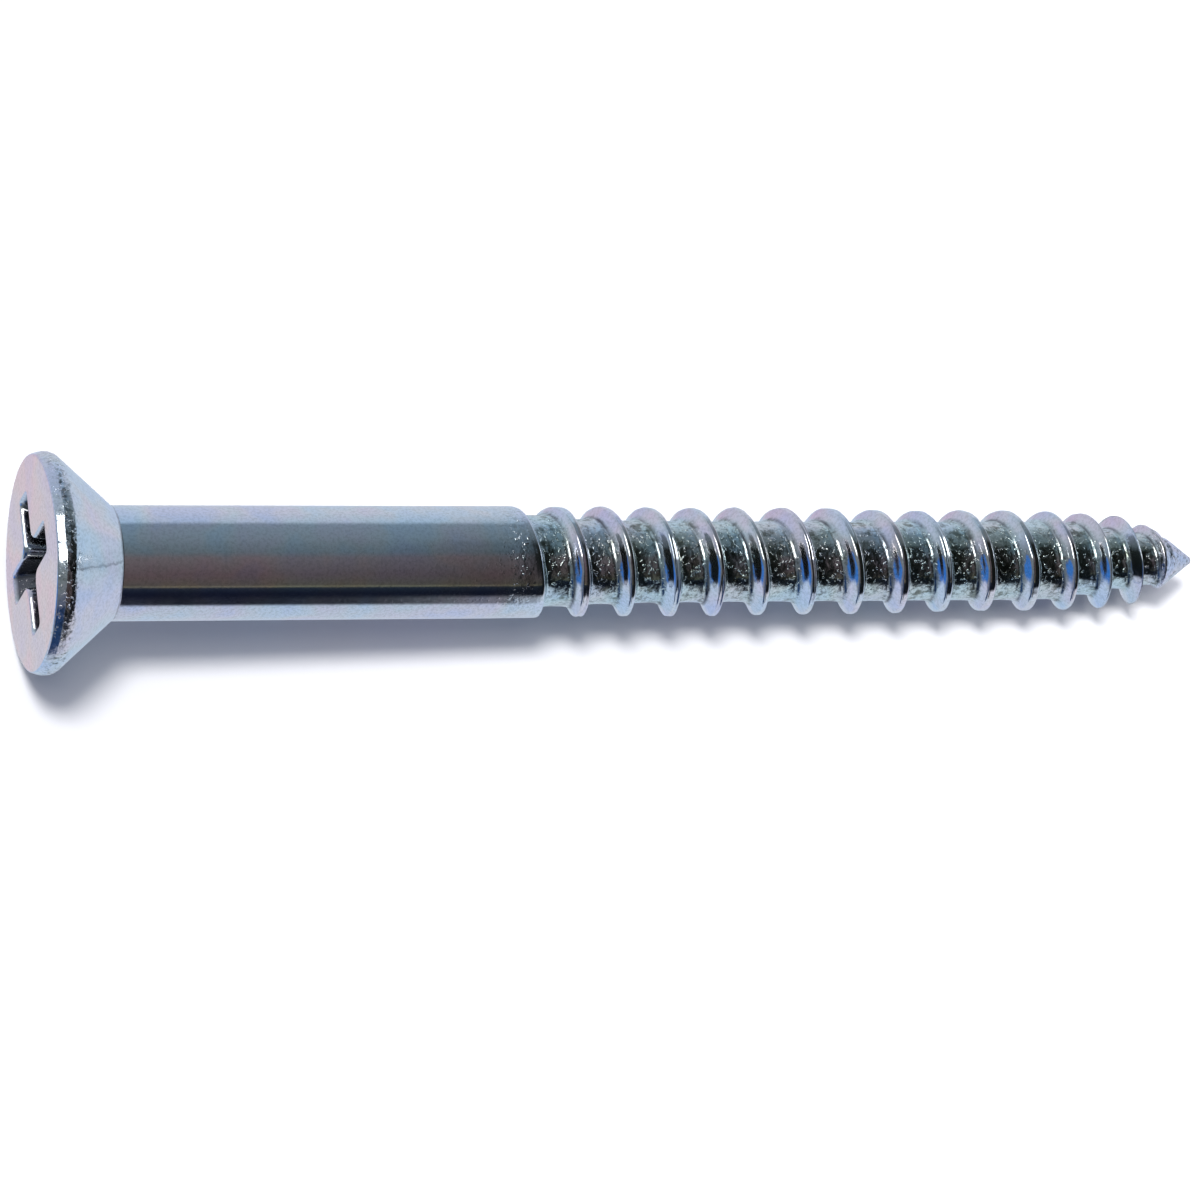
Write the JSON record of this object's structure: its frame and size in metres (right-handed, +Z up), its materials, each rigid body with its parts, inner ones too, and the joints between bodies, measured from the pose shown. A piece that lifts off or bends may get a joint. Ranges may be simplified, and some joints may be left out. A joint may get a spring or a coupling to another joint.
{
  "type": "wood screw",
  "caption": "Countersunk wood screw with a cross recess, a plain shank, a right-hand thread cut into its far part and a blunt point.",
  "frame": {"origin": "centre of the head's flat face, on the screw's axis", "axes": "+X runs along the axis from the head to the point; +Z is up, square to the axis"},
  "size_m": [0.045, 0.0076, 0.0076],
  "materials": {
    "zinc_plated_steel": "bright zinc plate with a blue passivate"
  },
  "bodies": {
    "root": {"wood_screw": "zinc_plated_steel"}
  },
  "joints": []
}
